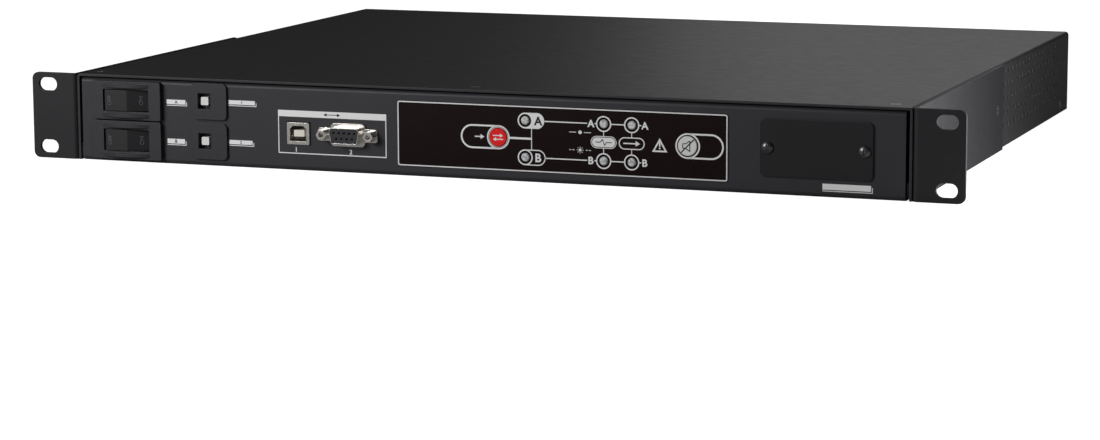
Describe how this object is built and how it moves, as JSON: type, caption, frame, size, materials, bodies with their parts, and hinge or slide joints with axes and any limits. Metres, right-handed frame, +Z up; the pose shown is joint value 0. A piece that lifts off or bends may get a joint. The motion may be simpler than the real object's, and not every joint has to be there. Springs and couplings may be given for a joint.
{
  "type": "rack static transfer switch",
  "caption": "Low rack-mounted power transfer switch with slotted ears, rocker switches, breakers, ports and a status panel in front, outlets, inlets and a terminal block behind.",
  "frame": {"origin": "centre of the four rack slots on the ears' rear face, which lies on the rack rails", "axes": "+X to the right seen from the front, +Y from the front to the rear, +Z up"},
  "size_m": [0.4826, 0.3738, 0.0436],
  "materials": {
    "black_powder": "fine-textured black powder coat",
    "panel_powder": "fine-textured charcoal powder coat",
    "black_zinc": "black zinc",
    "zinc": "bright zinc",
    "dark_screw": "dark green blackened steel",
    "black_nylon": "satin moulded",
    "rocker_plastic": "satin moulded",
    "socket_plastic": "fine-textured moulded",
    "white_plastic": "smooth",
    "ivory_plastic": "smooth",
    "red_plastic": "smooth",
    "green_plastic": "smooth moulded",
    "lens_plastic": "diffused lens",
    "overlay_film": "satin printed film",
    "relay_plastic": "moulded",
    "capacitor_sleeve": "shrunk sleeve",
    "circuit_board": "solder mask",
    "laminated_steel": "varnished laminations",
    "nickel": "nickel plated",
    "tinned_brass": "tin plated",
    "brass": "plain",
    "aluminium": "extruded"
  },
  "bodies": {
    "chassis": {"base_tray": "black_powder", "top_cover": "black_powder", "front_panel": "panel_powder", "rear_panel": "black_powder", "left_ear_bracket": "panel_powder", "right_ear_bracket": "panel_powder", "ear_screws": "black_zinc", "cover_screws": "black_zinc", "switch_a_housing": "black_nylon", "switch_b_housing": "black_nylon", "switch_terminals": "tinned_brass", "breaker_1_body": "black_nylon", "breaker_2_body": "black_nylon", "breaker_terminals": "tinned_brass", "usb_shell": "nickel", "usb_tongue": "ivory_plastic", "serial_shell": "nickel", "serial_insulator": "black_nylon", "serial_jackscrews": "nickel", "display_overlay": "overlay_film", "led_lenses": "lens_plastic", "display_board": "circuit_board", "tact_switches": "black_nylon", "slot_cover": "panel_powder", "slot_cover_screws": "zinc", "slot_card_guides": "zinc", "terminal_header": "green_plastic", "terminal_plug": "green_plastic", "terminal_flange_screws": "dark_screw", "terminal_clamp_screws": "zinc", "outlet_bank_3_frame": "socket_plastic", "outlet_bank_3_cores": "socket_plastic", "outlet_bank_2_frame": "socket_plastic", "outlet_bank_2_cores": "socket_plastic", "outlet_1_frame": "socket_plastic", "outlet_1_core": "socket_plastic", "outlet_contacts": "brass", "inlet_a_housing": "socket_plastic", "inlet_b_housing": "socket_plastic", "inlet_a_blades": "nickel", "inlet_b_blades": "nickel", "comms_board": "circuit_board", "control_board": "circuit_board", "power_board": "circuit_board", "board_standoffs": "brass", "board_screws": "zinc", "heatsink": "aluminium", "thyristors": "black_nylon", "relays": "relay_plastic", "capacitors": "capacitor_sleeve", "supply_transformers": "laminated_steel"},
    "rocker_a": {"switch_a_rocker": "rocker_plastic"},
    "rocker_b": {"switch_b_rocker": "rocker_plastic"},
    "reset_1": {"breaker_1_button": "white_plastic"},
    "reset_2": {"breaker_2_button": "white_plastic"},
    "select_cap": {"select_button": "red_plastic"},
    "mute_cap": {"mute_button": "white_plastic"}
  },
  "joints": [
    {"name": "rocker_a_tilt", "type": "hinge", "parent": "chassis", "child": "rocker_a", "pos_m": [-0.1873, -0.0005, 0.00945], "axis": [0, 0, -1], "range_deg": [0, 20]},
    {"name": "rocker_b_tilt", "type": "hinge", "parent": "chassis", "child": "rocker_b", "pos_m": [-0.1873, -0.0005, -0.0106], "axis": [0, 0, -1], "range_deg": [0, 20]},
    {"name": "reset_1_slide", "type": "slide", "parent": "chassis", "child": "reset_1", "axis": [0, -1, 0], "range_m": [0, 0.0035]},
    {"name": "reset_2_slide", "type": "slide", "parent": "chassis", "child": "reset_2", "axis": [0, -1, 0], "range_m": [0, 0.0035]},
    {"name": "select_press", "type": "slide", "parent": "chassis", "child": "select_cap", "axis": [0, 1, 0], "range_m": [0, 0.0005], "stiffness_N_per_m": 1500, "springref_m": -0.0005},
    {"name": "mute_press", "type": "slide", "parent": "chassis", "child": "mute_cap", "axis": [0, 1, 0], "range_m": [0, 0.0005], "stiffness_N_per_m": 1500, "springref_m": -0.0005}
  ]
}
